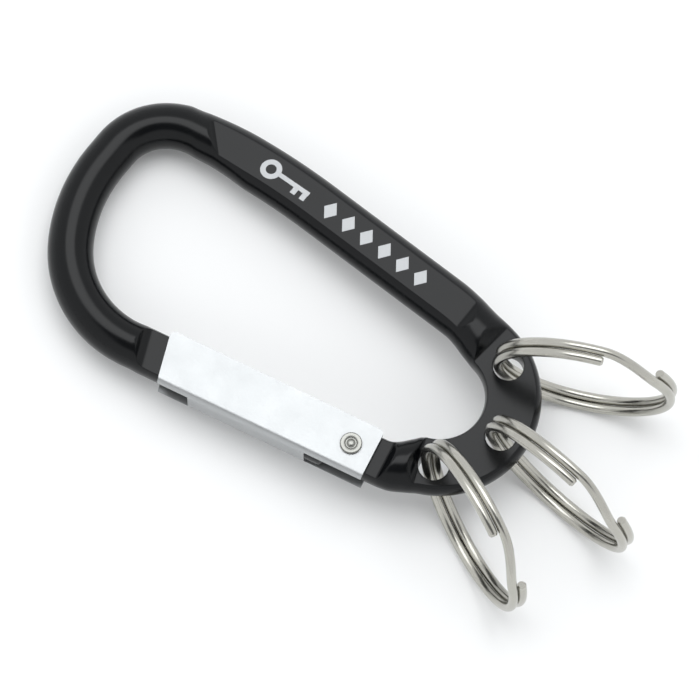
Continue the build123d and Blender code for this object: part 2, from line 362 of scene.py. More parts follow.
def hook_path(hook, gate):
    """Centre line of the bar, from the heel of the hinge tab round the hook to the nose tab.

    The plate's arc touches both the gate line and the back. The last bend touches the gate line.
    """
    across = np.array([-sin(gate.line), cos(gate.line)])
    rivet = pivot(gate)[:2]
    gap = across[0] * hook.plate_x - across @ rivet
    centre_y = (hook.back_y - gap) / (1 + across[1])
    plate_radius = hook.back_y - centre_y
    centre = np.array([hook.plate_x, centre_y])
    touch = centre - plate_radius * across
    start = gate_point(gate, gate.heel)
    runs = [
        (np.linalg.norm(touch - start), 0),
        (plate_radius * (pi - gate.line), plate_radius),
        (hook.back_straight + hook.plate_x - hook.back_end, 0),
        (hook.bow_radius * hook.bow_turn, hook.bow_radius),
        (hook.crown_radius * (pi / 2 - hook.bow_turn), hook.crown_radius),
        (hook.side_straight, 0),
        (hook.side_radius * hook.side_turn, hook.side_radius),
    ]
    end = walk(start, gate.line, runs, RUN_ENDS)[0][-1]
    slope = np.array([cos(hook.side_turn), sin(hook.side_turn)])
    nose_radius = (across @ (end - rivet)) / (1 - slope @ across)
    nose_turn = pi / 2 - hook.side_turn + gate.line
    runs.append((nose_radius * nose_turn, nose_radius))
    bend = walk(start, gate.line, runs, RUN_ENDS)[0][-1]
    runs.append((np.linalg.norm(gate_point(gate, gate.nose_tab) - bend), 0))
    return walk(start, gate.line, runs, PATH_STEP) + (plate_radius,)


# --- materials -----------------------------------------------------------------------------------

def node_material(name, base, metallic, roughness):
    """Material with a Principled shader whose plain values are set on its own sockets."""
    material = bpy.data.materials.new(name)
    material.use_nodes = True
    shader = material.node_tree.nodes["Principled BSDF"]
    shader.inputs["Base Color"].default_value = (*base, 1)
    shader.inputs["Metallic"].default_value = metallic
    shader.inputs["Roughness"].default_value = roughness
    return material


def fed(tree, socket, value):
    """Sets a socket to a plain number, or links another node's output to it."""
    if isinstance(value, float):
        socket.default_value = value
    else:
        tree.links.new(value, socket)


def worked(tree, operation, *values):
    """Output of a Math node on plain numbers or other nodes' outputs."""
    node = tree.nodes.new("ShaderNodeMath")
    node.operation = operation
    for socket, value in zip(node.inputs, values):
        fed(tree, socket, value)
    return node.outputs["Value"]


def ranged(tree, source, start, end, low=0.0, high=1.0):
    """Map Range node that takes start to low and end to high."""
    node = tree.nodes.new("ShaderNodeMapRange")
    tree.links.new(source, node.inputs["Value"])
    limits = {"From Min": start, "From Max": end, "To Min": low, "To Max": high}
    for label, value in limits.items():
        fed(tree, node.inputs[label], value)
    return node


FINE_DETAIL = 3.0
BROAD_DETAIL = 4.0
BROAD_SCALE = 260.0         # a patch of uneven tone is about 4 mm wide
NOISE_RANGE = (0.3, 0.7)    # where nearly all of a noise's values lie
GRAIN_DEPTH = 0.02 * MM


def grain_group():
    """Node group of the fine grain that all the finishes share: colour, roughness and normal.

    The roughness goes from roughness - spread to roughness + spread with the mean of a fine and a
    broad noise, the colour from 1 - mottle to 1 + mottle of itself with the broad noise, and the
    normal comes from the fine noise as a height.
    """
    name = "fine_grain"
    if name in bpy.data.node_groups:
        return bpy.data.node_groups[name]
    group = bpy.data.node_groups.new(name, "ShaderNodeTree")
    sockets = {
        "Colour": ("INPUT", "NodeSocketColor", None),
        "Roughness": ("INPUT", "NodeSocketFloat", 0.3),
        "Spread": ("INPUT", "NodeSocketFloat", 0.08),
        "Mottle": ("INPUT", "NodeSocketFloat", 0.1),
        "Grain": ("INPUT", "NodeSocketFloat", 4000.0),
        "Depth": ("INPUT", "NodeSocketFloat", 0.05),
        "Colour out": ("OUTPUT", "NodeSocketColor", None),
        "Roughness out": ("OUTPUT", "NodeSocketFloat", None),
        "Normal out": ("OUTPUT", "NodeSocketVector", None),
    }
    for label, (way, kind, default) in sockets.items():
        socket = group.interface.new_socket(label, in_out=way, socket_type=kind)
        if default is not None:
            socket.default_value = default
    nodes, links = group.nodes, group.links
    given = nodes.new("NodeGroupInput")
    result = nodes.new("NodeGroupOutput")
    place = nodes.new("ShaderNodeTexCoord")
    fine = nodes.new("ShaderNodeTexNoise")
    fine.inputs["Detail"].default_value = FINE_DETAIL
    links.new(place.outputs["Object"], fine.inputs["Vector"])
    links.new(given.outputs["Grain"], fine.inputs["Scale"])
    broad = nodes.new("ShaderNodeTexNoise")
    broad.inputs["Scale"].default_value = BROAD_SCALE
    broad.inputs["Detail"].default_value = BROAD_DETAIL
    links.new(place.outputs["Object"], broad.inputs["Vector"])

    rough_low = worked(group, "SUBTRACT", given.outputs["Roughness"], given.outputs["Spread"])
    rough_high = worked(group, "ADD", given.outputs["Roughness"], given.outputs["Spread"])
    mean = worked(group, "ADD", worked(group, "MULTIPLY", fine.outputs["Fac"], 0.5),
                  worked(group, "MULTIPLY", broad.outputs["Fac"], 0.5))
    rough = ranged(group, mean, *NOISE_RANGE, rough_low, rough_high)
    links.new(rough.outputs["Result"], result.inputs["Roughness out"])

    dim = worked(group, "SUBTRACT", 1.0, given.outputs["Mottle"])
    lift = worked(group, "ADD", 1.0, given.outputs["Mottle"])
    tone = ranged(group, broad.outputs["Fac"], *NOISE_RANGE, dim, lift)
    tint = nodes.new("ShaderNodeVectorMath")
    tint.operation = "SCALE"
    links.new(given.outputs["Colour"], tint.inputs[0])
    links.new(tone.outputs["Result"], tint.inputs["Scale"])
    links.new(tint.outputs[0], result.inputs["Colour out"])

    bump = nodes.new("ShaderNodeBump")
    bump.inputs["Distance"].default_value = GRAIN_DEPTH
    links.new(given.outputs["Depth"], bump.inputs["Strength"])
    links.new(fine.outputs["Fac"], bump.inputs["Height"])
    links.new(bump.outputs["Normal"], result.inputs["Normal out"])
    return group


def grained(name, base, metallic, roughness, **values):
    """Material whose colour, roughness and normal come through the fine grain."""
    material = node_material(name, base, metallic, roughness)
    tree = material.node_tree
    shader = tree.nodes["Principled BSDF"]
    group = tree.nodes.new("ShaderNodeGroup")
    group.node_tree = grain_group()
    group.inputs["Colour"].default_value = (*base, 1)
    group.inputs["Roughness"].default_value = roughness
    for label, value in values.items():
        group.inputs[label].default_value = value
    tree.links.new(group.outputs["Colour out"], shader.inputs["Base Color"])
    tree.links.new(group.outputs["Roughness out"], shader.inputs["Roughness"])
    tree.links.new(group.outputs["Normal out"], shader.inputs["Normal"])
    return material


OXIDE_IOR = 1.31            # low, which keeps the reflections dim


def black_anodising(colour):
    """Black anodised aluminium: a dark, smooth oxide with a faint silky grain."""
    material = grained("black_anodising", colour, 0.0, 0.20, Spread=0.03, Mottle=0.1,
                       Grain=3000.0, Depth=0.03)
    shader = material.node_tree.nodes["Principled BSDF"]
    shader.inputs["IOR"].default_value = OXIDE_IOR
    return material


def satin_sheet(colour):
    """Natural anodised sheet: bright, fine-grained metal."""
    return grained("satin_sheet", colour, 1.0, 0.44, Spread=0.06, Mottle=0.03, Grain=5000.0,
                   Depth=0.3)


def edge_painted_shade(colour):
    """Rounded edge of the sheet, duller than its faces and painted darker as shade for its dark
    outline.
    """
    return grained("edge_painted_shade", colour, 1.0, 0.5, Spread=0.08, Mottle=0.15, Grain=5000.0,
                   Depth=0.2)


def nickel_plate(colour):
    """Nickel-plated wire, a little uneven."""
    return grained("nickel_plate", colour, 1.0, 0.22, Spread=0.05, Mottle=0.06, Grain=3500.0,
                   Depth=0.10)


def turned_steel(colour):
    """Plain steel of the rivet."""
    return grained("turned_steel", colour, 1.0, 0.24, Spread=0.08, Mottle=0.12, Grain=6000.0,
                   Depth=0.2)


def spring_wire(colour):
    """Bright spring wire."""
    return grained("spring_wire", colour, 1.0, 0.25, Spread=0.05, Mottle=0.1, Grain=5000.0,
                   Depth=0.1)


def pad_ink(colour):
    """Silver-grey printing ink, a little uneven."""
    return grained("pad_ink", colour, 0.25, 0.45, Spread=0.08, Mottle=0.06, Grain=9000.0,
                   Depth=0.15)


# --- the hook ------------------------------------------------------------------------------------

SIDE_POINTS = 29            # points round each side of a section, and across each of its flats
FLAT_POINTS = 23
FULL_ROUND = 0.9995         # largest sine of a side's end, so that a round bar has a thin flat


def oval_sections(inner, outer, inner_round, outer_round, oval, clip):
    """Sections (w, z) of the bar, one row for each station; w is measured inwards from the path.

    Each side is part of an ellipse, with half-axes inner_round or outer_round and oval, that
    ends where its height reaches clip. Flats at +clip and -clip join the two sides. A round bar
    has all its half-axes equal and its clip at the very top.
    """
    top = np.arcsin(np.clip(clip / oval, 0.0, FULL_ROUND))[:, None]
    side = -np.cos(np.linspace(0, pi, SIDE_POINTS))[None, :-1]
    level = (1 - np.cos(np.linspace(0, pi, FLAT_POINTS)))[None, :-1] / 2

    def bend(reach, rounding, way):
        """Points of one rounded side, way being 1 on the inner side and -1 on the outer."""
        w = way * (reach - rounding)[:, None] + way * rounding[:, None] * np.cos(top * side)
        return np.stack([w, way * oval[:, None] * np.sin(top * side)], axis=-1)

    inner_side = bend(inner, inner_round, 1.0)
    outer_side = bend(outer, outer_round, -1.0)
    inner_edge = (inner - inner_round)[:, None] + inner_round[:, None] * np.cos(top)
    outer_edge = -(outer - outer_round)[:, None] - outer_round[:, None] * np.cos(top)
    height = oval[:, None] * np.sin(top)
    upper = np.stack([inner_edge + (outer_edge - inner_edge) * level, height + 0 * level], axis=-1)
    lower = np.stack([outer_edge + (inner_edge - outer_edge) * level, -height + 0 * level], axis=-1)
    return np.concatenate([inner_side, upper, outer_side, lower], axis=1)


# Where the bar's shape changes along its path. Each pair is the start and end of a smooth change,
# as distances from the place named in the comment.
OUTER_GROWS = (6.2 * MM, 10.5 * MM)          # rivet: the round bar spreads into the plate
INNER_GROWS = (4.2 * MM, 8.6 * MM)
OUTER_SHRINKS = (-2.0 * MM, 3.4 * MM)        # plate's end
INNER_SHRINKS = (-1.0 * MM, 6.5 * MM)
NECK_GROWS = (-5.0 * MM, 0.0)
RIM_GROWS = (8.0 * MM, 9.6 * MM)             # rivet
RIM_SHRINKS = (-1.6 * MM, 0.6 * MM)          # plate's end
PRESS_GROWS = (-2.5 * MM, 3.5 * MM)          # flats' end, at the plate
PRESS_SHRINKS = (-6.0 * MM, 2.5 * MM)        # flats' start, at the crown
HEEL_ENDS = (-0.2 * MM, 0.2 * MM)            # heel's length
NOSE_SLANTS = (-9.0 * MM, -5.0 * MM)         # gate's end at the nose
NOSE_SQUARES = (1.0 * MM, 4.0 * MM)
NECK_KEPT = 4.0 * MM                         # neck width kept past the flats' end
RUNOUT_SLANT = 0.75                          # slope of the flats' start, and how far it reaches
RUNOUT_REACH = 6.0 * MM
NOSE_HOLLOW = 2.1 * MM                       # hollow step from the nose tab to the round bar
PROUD = 1.02                                 # clip height of the round bar, in half bars
RIM_OVAL = 0.56                              # half height of the plate's rims, in thicknesses
JOIN_POWER = 3                               # how tightly the neck joins the plate's swell

# Heights of the flats: (place, distance from it, height) from the hinge tab to the crown.
CLIP_STEPS = (
    ("shoulder", 0.0, "tab"), ("shoulder", 0.7 * MM, "proud"),
    ("rivet", 8.4 * MM, "proud"), ("rivet", 9.3 * MM, "thin"),
    ("plate_end", -1.2 * MM, "thin"), ("plate_end", 0.5 * MM, "proud"),
    ("flat_end", -1.3 * MM, "proud"), ("flat_end", 0.0, "flat"),
    ("flat_start", 0.0, "flat"), ("flat_start", 1.2 * MM, "proud"),
)


def hook_grid(hook, gate):
    """Grid of the whole hook: sections that change along the path, with the nose end slanted.

    A point is the path's point, plus its w to the left, less slant times w ahead, at its height z.
    """
    points, headings, station, ends, path_radius = hook_path(hook, gate)
    half = hook.bar / 2
    plate_end = ends[2]
    nose = ends[-1] + gate.nose_tab - gate.nose
    places = {
        "rivet": gate.heel,
        "shoulder": gate.heel + gate.tail + gate.tab_gap,
        "plate_end": plate_end,
        "flat_end": plate_end + hook.plate_x - hook.flat_end,
        "flat_start": plate_end + hook.plate_x - hook.flat_start,
    }

    def over(place, change):
        """0 before a change, 1 after it; the change is given from a place along the path."""
        return smooth(station, place + change[0], place + change[1])

    # plan: how far the bar reaches outwards and inwards of its path
    turned = gate.line - pi / 2 + (station - ends[1]) / path_radius
    offset = (hook.plate_y - (hook.back_y - path_radius)) * np.sin(turned)
    plate_out = hook.plate_radius - path_radius + offset
    plate_in = path_radius - hook.eye_radius - offset
    plate = over(gate.heel, OUTER_GROWS) * (1 - over(plate_end, OUTER_SHRINKS))
    inner_plate = over(gate.heel, INNER_GROWS) * (1 - over(plate_end, INNER_SHRINKS))
    pressed = over(places["flat_end"], PRESS_GROWS)
    pressed *= 1 - over(places["flat_start"], PRESS_SHRINKS)
    heel = 1 - over(gate.heel_long, HEEL_ENDS)
    widening = hook.flat_width / 2 - half
    spread = widening * pressed
    neck = widening * over(plate_end, NECK_GROWS) * (station < places["flat_end"] + NECK_KEPT)
    outer = half + spread + (plate_out - half) * plate + (gate.outwards - half) * heel
    swell = np.maximum(0, (plate_in - half) * inner_plate)
    joined = np.maximum(spread, neck) ** JOIN_POWER + swell ** JOIN_POWER
    inner = half + joined ** (1 / JOIN_POWER)

    # height of the flats: tabs, plate and pressed back lie below the round bar
    heights = {
        "proud": half * PROUD, "tab": hook.tab_height / 2,
        "flat": hook.flat_height / 2, "thin": hook.plate_height / 2,
    }
    clip = np.interp(station, [places[place] + by for place, by, _ in CLIP_STEPS],
                     [heights[height] for _, _, height in CLIP_STEPS])
    back_from_tab = (nose - gate.tab_gap - station) / NOSE_HOLLOW
    hollow = 1 - np.sqrt(1 - np.clip(back_from_tab, 0, 1) ** 2)
    rising = heights["tab"] + (heights["proud"] - heights["tab"]) * hollow
    clip = np.where(back_from_tab < 1, rising, clip)

    # the plate has narrow rounded rims, the pressed back is cut from a wider oval
    rim = over(gate.heel, RIM_GROWS) * (1 - over(plate_end, RIM_SHRINKS))
    middle = (inner + outer) / 2
    inner_round = middle + (hook.eye_rim - middle) * rim
    outer_round = middle + (hook.plate_rim - middle) * rim
    oval = half + (hook.flat_oval / 2 - half) * pressed
    oval += (hook.plate_height * RIM_OVAL - half) * rim

    sections = oval_sections(inner, outer, inner_round, outer_round, oval, clip)
    sections = softened(sections, 3, 1, True)
    left = np.stack([-np.sin(headings), np.cos(headings)], axis=-1)
    ahead = np.stack([np.cos(headings), np.sin(headings)], axis=-1)
    slant = tan(gate.line) * over(nose, NOSE_SLANTS) * (1 - over(nose, NOSE_SQUARES))
    slant += RUNOUT_SLANT * np.exp(-((station - places["flat_start"]) / RUNOUT_REACH) ** 2)
    plan = points[:, None] + sections[..., :1] * left[:, None]
    plan -= sections[..., :1] * slant[:, None, None] * ahead[:, None]
    grid = np.concatenate([plan, sections[..., 1:]], axis=-1)
    return softened(grid, 2, 0, False)


def ring_holes(gate):
    """Centres of the three ring holes in the plan, worked out from the swivel joints."""
    rivet = np.array(joint("gate_hinge")["pos_m"])
    places = [joint(f"ring_{number}_swivel")["pos_m"] for number in (1, 2, 3)]
    return [(np.array(place) - rivet) @ flat_axes().T + pivot(gate) for place in places]


def pierced(mesh, cutters):
    """Mesh with the cutters' solids taken out of it."""
    body = bpy.data.objects.new("blank", mesh)
    bpy.context.scene.collection.objects.link(body)
    tools = bpy.data.collections.new("cutters")
    for cutter in cutters:
        tools.objects.link(bpy.data.objects.new(cutter.name, cutter))
    cut = body.modifiers.new("pierce", "BOOLEAN")
    cut.operation = "DIFFERENCE"
    cut.solver = "EXACT"
    cut.operand_type = "COLLECTION"
    cut.collection = tools
    bpy.context.scene.collection.children.link(tools)
    depsgraph = bpy.context.evaluated_depsgraph_get()
    result = bpy.data.meshes.new_from_object(body.evaluated_get(depsgraph))
    for tool in list(tools.objects):
        bpy.data.objects.remove(tool)
    bpy.data.collections.remove(tools)
    bpy.data.objects.remove(body)
    return result


PUNCH_SIDES = 64
EDGE_POINTS = 5


def punch(hook, gate, place):
    """Cutter for one ring hole: a cylinder that flares by the hole's rounded edge at both faces.

    The flare is a quarter circle: radius + edge (1 - cos t), height - edge + edge sin t.
    """
    radius, height, flare = hook.hole / 2, hook.plate_height / 2, hook.hole_chamfer
    turn = np.linspace(0, pi / 2, EDGE_POINTS)
    edge = radius + flare * (1 - np.cos(turn))
    rise = height - flare + flare * np.sin(turn)
    radii = np.concatenate([[edge[-1]], edge[::-1], edge, [edge[-1]]])
    heights = np.concatenate([[-2 * height], -rise[::-1], rise, [2 * height]])
    return lay_mesh(lathed("punch", radii, heights, PUNCH_SIDES), place, gate)


class KEYRING_OT_hook(Operator):
    """Makes the hook: one bent, pressed and pierced bar"""

    bl_idname = "keyring.hook"
    bl_label = "Hook"

    def execute(self, context):
        hook, gate = context.scene.keyring_hook, context.scene.keyring_gate
        mesh = grid_mesh("hook_bar", lay(hook_grid(hook, gate), gate))
        mesh = pierced(mesh, [punch(hook, gate, hole) for hole in ring_holes(gate)])
        mesh.name = "hook_bar"
        black = black_anodising(context.scene.keyring_finish.black)
        finish_piece(mesh, "hook", [black], ["frame"])
        return {"FINISHED"}


# --- gate, rivet and spring ----------------------------------------------------------------------

MERGE_REACH = 0.002 * MM
FLAT_WITHIN = radians(1.0)
SHARP_OVER = radians(40)
ROUND_STEPS = 3


def rounded_copy(node, name, width):
    """Copy of a CAD node's mesh with its points merged and its sharp edges rounded off.

    The faces keep the first of two materials and the rounded edges take the second.
    """
    mesh = frame["nodes"][node].data.copy()
    mesh.materials.clear()
    mesh.materials.append(None)
    mesh.materials.append(None)
    mesh.name = name
    piece = bpy.data.objects.new(name, mesh)
    bpy.context.scene.collection.objects.link(piece)
    weld = piece.modifiers.new("weld", "WELD")
    weld.merge_threshold = MERGE_REACH
    flat = piece.modifiers.new("flat", "DECIMATE")
    flat.decimate_type = "DISSOLVE"
    flat.angle_limit = FLAT_WITHIN
    bevel = piece.modifiers.new("bevel", "BEVEL")
    bevel.width = width
    bevel.segments = ROUND_STEPS
    bevel.limit_method = "ANGLE"
    bevel.angle_limit = SHARP_OVER
    bevel.material = 1
    depsgraph = bpy.context.evaluated_depsgraph_get()
    result = bpy.data.meshes.new_from_object(piece.evaluated_get(depsgraph))
    bpy.data.objects.remove(piece)
    result.name = name
    return result


class KEYRING_OT_gate(Operator):
    """Makes the folded gate"""

    bl_idname = "keyring.gate"
    bl_label = "Gate"

    def execute(self, context):
        mesh = rounded_copy("gate", "gate_channel", context.scene.keyring_gate.edge)
        colours = context.scene.keyring_finish
        # The rounded sheet edges take painted shade, a darker grey than the faces.
        finishes = [satin_sheet(colours.gate), edge_painted_shade(colours.cut)]
        piece = finish_piece(mesh, "gate", finishes, ["gate"])
        even = piece.modifiers.new("even_shading", "WEIGHTED_NORMAL")
        even.keep_sharp = True
        return {"FINISHED"}


RIVET_SIDES = 72
RIVET_SHARP = 50.0                                                      # degrees
HEAD_EDGE = 0.16 * MM
DISH_RADII = np.array([0.92, 0.85, 0.80, 0.74, 0.66, 0.55]) * MM
DISH_DEPTHS = np.array([0.0, 0.04, 0.16, 0.20, 0.20, 0.17]) * MM        # below the head's top
NUB_RADIUS = 0.52 * MM
NUB_HEIGHT = 0.17 * MM
POLE = 0.01 * MM                                                        # smallest circle
REAR_RADII = np.array([0.01, 0.5, 1.0, 1.25, 1.42, 1.5, 1.5]) * MM
REAR_RISES = np.array([0.0, 0.0, 0.02, 0.07, 0.16, 0.28, 0.42]) * MM    # above the rear end


class KEYRING_OT_rivet(Operator):
    """Makes the rivet with its dished head"""

    bl_idname = "keyring.rivet"
    bl_label = "Rivet"

    def execute(self, context):
        # A profile turned about the axis: domed rear head, shank, front head with a quarter-round
        # edge, its dish, and a nub that is a quarter ellipse.
        gate = context.scene.keyring_gate
        face, wide, shank = gate.height / 2, gate.head / 2, gate.rivet / 2
        top = face + gate.head_height
        turn = np.linspace(0, pi / 2, 6)
        rim_r = wide - HEAD_EDGE + HEAD_EDGE * np.cos(turn)
        rim_z = top - HEAD_EDGE + HEAD_EDGE * np.sin(turn)
        dome = np.linspace(0, pi / 2, 8)[1:]
        nub_r = np.maximum(NUB_RADIUS * np.cos(dome), POLE)
        nub_z = top - NUB_HEIGHT + NUB_HEIGHT * np.sin(dome)
        radii = np.concatenate([REAR_RADII, [wide, shank, shank, wide], rim_r, DISH_RADII, nub_r])
        heights = np.concatenate([REAR_RISES - top, [-face, -face, face, face], rim_z,
                                  top - DISH_DEPTHS, nub_z])
        mesh = lay_mesh(lathed("rivet", radii, heights, RIVET_SIDES), pivot(gate), gate)
        steel = turned_steel(context.scene.keyring_finish.rivet)
        finish_piece(mesh, "gate", [steel], ["hinge_rivet"], RIVET_SHARP)
        return {"FINISHED"}


SPRING_TURNS = 3
TURN_POINTS = 40
HELD_POINTS = 12
FREE_POINTS = 24
SPRING_SIDES = 16
SPRING_AIR = 0.02 * MM      # between the free leg and the gate's web
LEG_POWER = 1.3             # how late the free leg bends out to the web


def spring_path(gate):
    """Centre line of the gate spring: held leg, coil and free leg, as (along, outwards, height).

    The coil is (r sin t, r cos t, pitch t / 2 pi), less half its rise. The held leg is straight.
    The free leg goes outwards by the power 1.3 of the way along it.
    """
    radius, half_rise = gate.spring_radius, SPRING_TURNS * gate.spring_pitch / 2
    turn = np.linspace(0, SPRING_TURNS * 2 * pi, SPRING_TURNS * TURN_POINTS)
    coil = np.stack([radius * np.sin(turn), radius * np.cos(turn),
                     gate.spring_pitch * turn / (2 * pi) - half_rise], axis=-1)
    back = np.linspace(-gate.held_leg, 0, HELD_POINTS)[:-1]
    held = np.stack([back, radius + 0 * back, 0 * back - half_rise], axis=-1)
    ahead = np.linspace(0, gate.free_leg, FREE_POINTS)[1:]
    contact = gate.outwards - gate.sheet - gate.spring_wire / 2 - SPRING_AIR
    lift = (contact - radius) * (ahead / gate.free_leg) ** LEG_POWER
    free = np.stack([ahead, radius + lift, 0 * ahead + half_rise], axis=-1)
    return np.concatenate([held, coil, free])


class KEYRING_OT_spring(Operator):
    """Makes the small spring that shuts the gate"""

    bl_idname = "keyring.spring"
    bl_label = "Gate spring"

    def execute(self, context):
        gate = context.scene.keyring_gate
        path = spring_path(gate)
        across = np.zeros_like(path)
        across[:, 2] = 1.0
        grid = tube(path, across, gate.spring_wire / 2, SPRING_SIDES)
        turn = pi + gate.line
        along = np.array([cos(turn), sin(turn), 0.0])
        outwards = np.array([-sin(turn), cos(turn), 0.0])
        plan = grid @ np.array([along, outwards, [0.0, 0.0, 1.0]])
        mesh = grid_mesh("spring_coil", lay(plan + pivot(gate), gate))
        wire = spring_wire(context.scene.keyring_finish.spring)
        piece = finish_piece(mesh, None, [wire], ["gate_spring"])
        # The coil is on the joint's axis, round the rivet.
        ends = np.array([pivot(gate), pivot(gate) + gate.spring_radius * along])
        start, end = lay(ends, gate).tolist()
        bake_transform(piece)
        return {"FINISHED"}


# --- split rings ---------------------------------------------------------------------------------

RING_POINTS = 460
RING_SIDES = 28
LOWERINGS = 5

# How each ring lies: the way it points in the plan, how far it leans, and where its tip is on it.
RING_POSES = (
    (radians(25.7), radians(-1.6), radians(35.0)),
    (radians(-3.8), radians(-3.5), radians(29.0)),
    (radians(-22.8), radians(3.5), radians(20.0)),
)


def ring_path(rings, tip):
    """Two turns of wire about +Z, from the tip on the lower turn to the end on the upper one.

    A circle of one radius, whose height goes from -level to +level by the smooth step over the
    arc where the wire steps from one turn to the other.
    """
    radius = (rings.diameter - rings.wire) / 2
    level = (rings.wire + rings.air) / 2
    whole = 2 * pi
    turned = np.linspace(0, 2 * whole - rings.step, RING_POINTS)
    height = level * (2 * smooth(turned, whole - rings.step, whole) - 1)
    place = tip - turned
    return np.stack([radius * np.cos(place), radius * np.sin(place), height], axis=-1)


def threaded(rings, hook, hole, heading, lean, tip):
    """Ring wire threaded through a hole and let down until it rests on the table.

    The ring's centre lies out from the hole by the mean of the reaches sqrt(radius^2 - face^2) to
    the plate's two faces, less the pull. Each lowering takes off the height left under the ring.
    """
    radius = (rings.diameter - rings.wire) / 2
    path = ring_path(rings, tip)
    out = np.array([cos(heading), sin(heading), 0.0])
    axis = np.array([sin(heading), -cos(heading), 0.0])
    up = np.array([0.0, 0.0, 1.0])
    axis, up = axis * cos(lean) + up * sin(lean), up * cos(lean) - axis * sin(lean)
    axes = flat_axes()
    height = 0.0
    for _ in range(LOWERINGS):
        faces = (height - hook.plate_height / 2, height + hook.plate_height / 2)
        reach = sum(sqrt(radius ** 2 - face ** 2) for face in faces) / 2 - rings.pull
        plan = (path[:, :1] + reach) * out + (path[:, 1:2] + height) * up + path[:, 2:] * axis
        lying = plan @ axes + hole
        height -= (lying[:, 2].min() - rings.wire / 2) / axes[2, 2]
    across = (path * [1, 1, 0]) @ np.array([out, up, axis]) @ axes
    return lying, across


class KEYRING_OT_rings(Operator):
    """Makes the three split rings in their holes"""

    bl_idname = "keyring.rings"
    bl_label = "Split rings"

    def execute(self, context):
        rings, hook = context.scene.keyring_rings, context.scene.keyring_hook
        material = nickel_plate(context.scene.keyring_finish.nickel)
        for number, (heading, lean, tip) in enumerate(RING_POSES, 1):
            hole = np.array(joint(f"ring_{number}_swivel")["pos_m"])
            path, across = threaded(rings, hook, hole, heading, lean, tip)
            grid = tube(path, across, rings.wire / 2, RING_SIDES, rings.cut)
            mesh = grid_mesh(f"key_ring_{number}", grid)
            finish_piece(mesh, f"ring_{number}", [material],
                         [f"split_ring_{number}"])
        return {"FINISHED"}


# --- print ---------------------------------------------------------------------------------------

INK_SUNK = 0.03 * MM        # the print goes this far into the flat, and stands this proud
INK_PROUD = 0.025 * MM
BOW_X = -13.9 * MM          # the key's bow, and its outer and inner radius
BOW_OUT = 1.45 * MM
BOW_IN = 0.72 * MM
BOW_PARTS = 40
SHANK = (-12.5 * MM, -7.6 * MM, -0.32 * MM, 0.32 * MM)      # x0, x1, y0, y1
TEETH_X = (-9.9 * MM, -8.4 * MM)
TOOTH_WIDTH = 0.75 * MM
TOOTH = (-1.25 * MM, -0.31 * MM)                            # y0, y1
LOZENGES = 6
LOZENGE_X = -3.9 * MM
LOZENGE_PITCH = 3.1 * MM
LOZENGE_HALF = (1.05 * MM, 1.4 * MM)
# Faces of a four-sided prism whose lower corners are 0 to 3 and whose upper corners are 4 to 7.
PRISM = np.array([[3, 2, 1, 0], [4, 5, 6, 7], [0, 1, 5, 4], [1, 2, 6, 5], [2, 3, 7, 6],
                  [3, 0, 4, 7]])


def box(x0, x1, y0, y1):
    """Corners of an upright rectangle."""
    return [(x0, y0), (x1, y0), (x1, y1), (x0, y1)]


def print_outlines():
    """Four-cornered outlines (x, y) of the print, with y measured from the middle of the back.

    The bow is a ring cut into equal wedges. The shank and teeth are rectangles. A row of lozenges
    follows.
    """
    turn = np.linspace(0, 2 * pi, BOW_PARTS + 1)
    rim = np.stack([np.cos(turn), np.sin(turn)], axis=-1)
    outer, inner = BOW_OUT * rim, BOW_IN * rim
    bow = np.stack([outer[:-1], outer[1:], inner[1:], inner[:-1]], axis=1) + [BOW_X, 0.0]
    bars = [box(*SHANK)] + [box(x, x + TOOTH_WIDTH, *TOOTH) for x in TEETH_X]
    wide, high = LOZENGE_HALF
    lozenge = np.array([(-wide, 0), (0, -high), (wide, 0), (0, high)])
    steps = LOZENGE_X + LOZENGE_PITCH * np.arange(LOZENGES)
    row = lozenge + np.stack([steps, 0 * steps], axis=-1)[:, None]
    return np.concatenate([bow, bars, row])


class KEYRING_OT_print(Operator):
    """Prints a plain key and a row of lozenges on the front flat of the back"""

    bl_idname = "keyring.print"
    bl_label = "Print"

    def execute(self, context):
        # The back bows away from its straight line by the square of the way past it, over twice
        # the bow's radius, and the print follows.
        hook, gate = context.scene.keyring_hook, context.scene.keyring_gate
        outlines = print_outlines()
        past = np.maximum(0, hook.back_end - hook.back_straight - outlines[..., 0])
        outlines[..., 1] += hook.back_y - past ** 2 / (2 * hook.bow_radius)
        corners = np.empty((len(outlines), 2, 4, 3))
        corners[..., :2] = outlines[:, None]
        corners[:, 0, :, 2] = hook.flat_height / 2 - INK_SUNK
        corners[:, 1, :, 2] = hook.flat_height / 2 + INK_PROUD
        faces = PRISM + 8 * np.arange(len(outlines))[:, None, None]
        mesh = bpy.data.meshes.new("back_print")
        mesh.from_pydata(lay(corners.reshape(-1, 3), gate).tolist(), [],
                         faces.reshape(-1, 4).tolist())
        finish_piece(mesh, "hook", [pad_ink(context.scene.keyring_finish.ink)])
        return {"FINISHED"}


# --- stage ---------------------------------------------------------------------------------------

CAMERA_LENS = 400.0
CAMERA_SENSOR = 36.0
NEAR_CLIP = 0.01
FLOOR_SIZE = 3.0
FLOOR_ROUGHNESS = 0.9
VIEW_WIDTH = 94.65 * MM
VIEW_TILT = radians(17.5)
VIEW_TURN = radians(-38.2)
VIEW_CENTRE = (9.95 * MM, -1.61 * MM, 0.0)

SKY = 1.05
SKY_COLOUR = (0.985, 1.0, 1.01)
# Patches of sky: angle above the back direction, tangents of half the width and height, softness.
PANEL = (radians(31.0), tan(radians(24.0)), tan(radians(18.5)), 0.06)
PANEL_LIGHT = 3.4
DIM_PATCH = (radians(-6.0), tan(radians(30.0)), tan(radians(17.0)), 0.08)
DIMMED = 0.85
BEHIND = 0.001              # stands in for d . middle where it isn't positive


